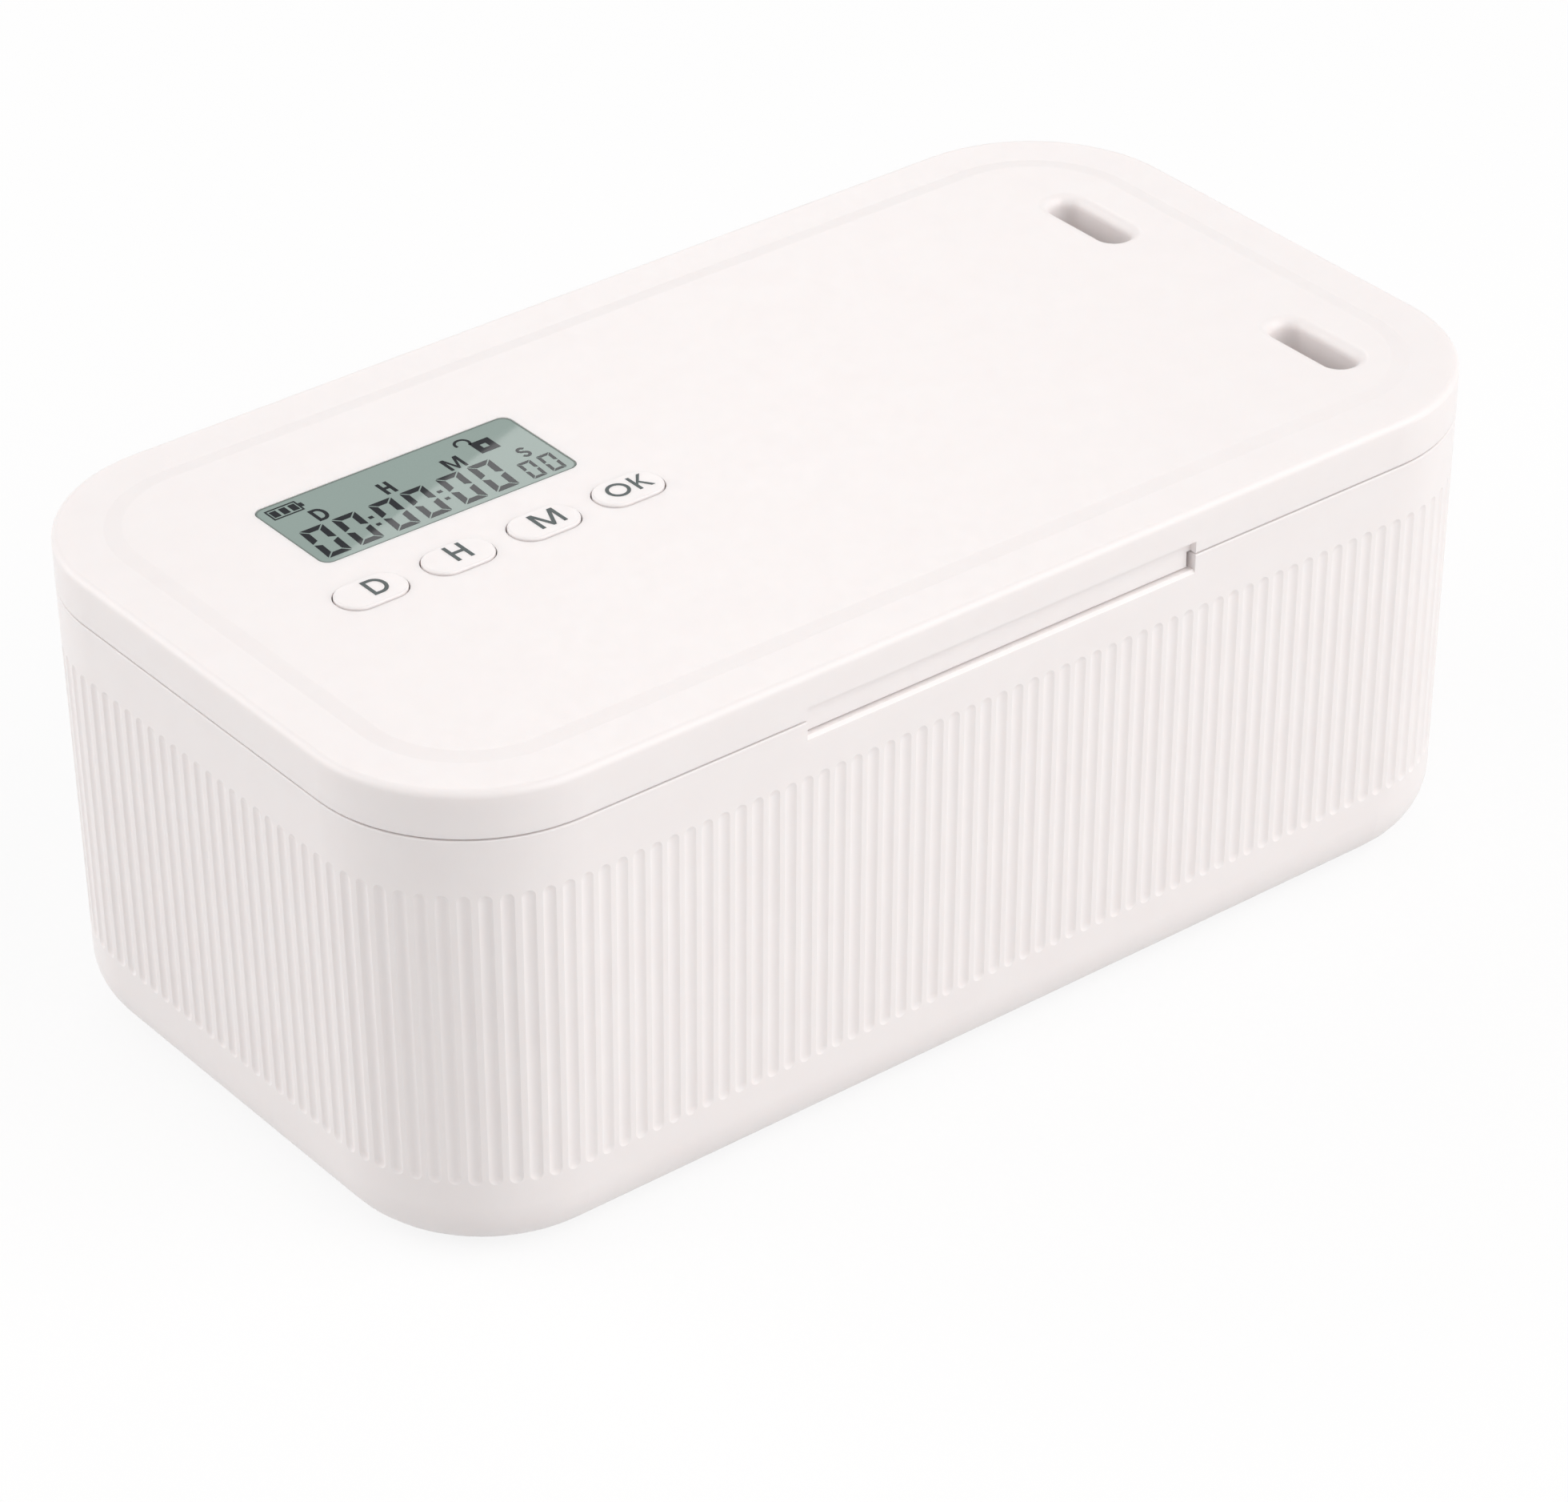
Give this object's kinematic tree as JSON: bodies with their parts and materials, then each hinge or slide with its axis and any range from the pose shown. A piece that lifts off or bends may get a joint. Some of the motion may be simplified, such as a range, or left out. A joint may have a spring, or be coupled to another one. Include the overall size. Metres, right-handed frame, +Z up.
{
  "type": "timed lock container",
  "caption": "Fluted plastic box with a lift-off lid that a timer with buttons and two motor-driven bolts keeps locked; two slots pass leads.",
  "frame": {"origin": "centre of the underside, where the box stands", "axes": "+Z up, +X along the length towards the end with the two lead slots, -Y towards the user's long side"},
  "size_m": [0.228, 0.124, 0.0905],
  "materials": {
    "shell": "fine satin",
    "button": "fine satin",
    "pane": "clear",
    "lcd": "smooth grey-green",
    "frame": "smooth",
    "elastomer": "matte",
    "board": "solder mask",
    "chips": "matte",
    "steel": "bright",
    "switch": "matte",
    "plunger": "matte",
    "bolt": "smooth",
    "brass": "machined",
    "can": "nickel plated",
    "chassis": "matte",
    "cell": "foil pouch",
    "foam": "foam",
    "lead": "insulation"
  },
  "bodies": {
    "box": {"box_shell": "shell", "near_keeper": "shell", "far_keeper": "shell", "keeper_screws": "steel"},
    "lid": {"lid_cover": "shell", "lid_base": "shell", "lid_screws": "steel", "display_window": "pane", "display_panel": "lcd", "display_frame": "frame", "display_contacts": "elastomer", "main_board": "board", "board_parts": "chips", "board_screws": "steel", "tact_switches": "switch", "latch_chassis": "chassis", "chassis_screws": "steel", "motor_can": "can", "motor_gearbox": "brass", "motor_strap": "steel", "motor_leads": "lead", "bolt_sensor": "switch", "battery_cell": "cell", "battery_pad": "foam", "battery_leads": "lead", "charge_port": "steel", "charge_board": "board", "charge_screws": "steel", "charge_leads": "lead"},
    "near_bolt": {"near_bolt": "bolt"},
    "far_bolt": {"far_bolt": "bolt"},
    "drive": {"output_shaft": "steel", "drive_pinion": "brass"},
    "button_d": {"button_d": "button", "plunger_d": "plunger"},
    "button_h": {"button_h": "button", "plunger_h": "plunger"},
    "button_m": {"button_m": "button", "plunger_m": "plunger"},
    "button_ok": {"button_ok": "button", "plunger_ok": "plunger"}
  },
  "joints": [
    {"name": "lid_lift", "type": "slide", "parent": "box", "child": "lid", "axis": [0, 0, 1], "range_m": [0, 0.12]},
    {"name": "far_bolt_slide", "type": "slide", "parent": "lid", "child": "far_bolt", "axis": [1, 0, 0], "range_m": [0, 0.006]},
    {"name": "near_bolt_slide", "type": "slide", "parent": "lid", "child": "near_bolt", "axis": [-1, 0, 0], "range_m": [0, 0.006]},
    {"name": "pinion_spin", "type": "hinge", "parent": "lid", "child": "drive", "pos_m": [-0.08793, -0.014, 0.08002], "axis": [0, -1, 0], "range_deg": [0, 115]},
    {"name": "button_d_press", "type": "slide", "parent": "lid", "child": "button_d", "axis": [0, 0, -1], "range_m": [0, 0.0005], "stiffness_N_per_m": 1000},
    {"name": "button_h_press", "type": "slide", "parent": "lid", "child": "button_h", "axis": [0, 0, -1], "range_m": [0, 0.0005], "stiffness_N_per_m": 1000},
    {"name": "button_m_press", "type": "slide", "parent": "lid", "child": "button_m", "axis": [0, 0, -1], "range_m": [0, 0.0005], "stiffness_N_per_m": 1000},
    {"name": "button_ok_press", "type": "slide", "parent": "lid", "child": "button_ok", "axis": [0, 0, -1], "range_m": [0, 0.0005], "stiffness_N_per_m": 1000}
  ],
  "couplings": [
    {"joint": "near_bolt_slide", "follows": "far_bolt_slide", "ratio": 1},
    {"joint": "pinion_spin", "follows": "far_bolt_slide", "rad_per_m": 333.33}
  ]
}
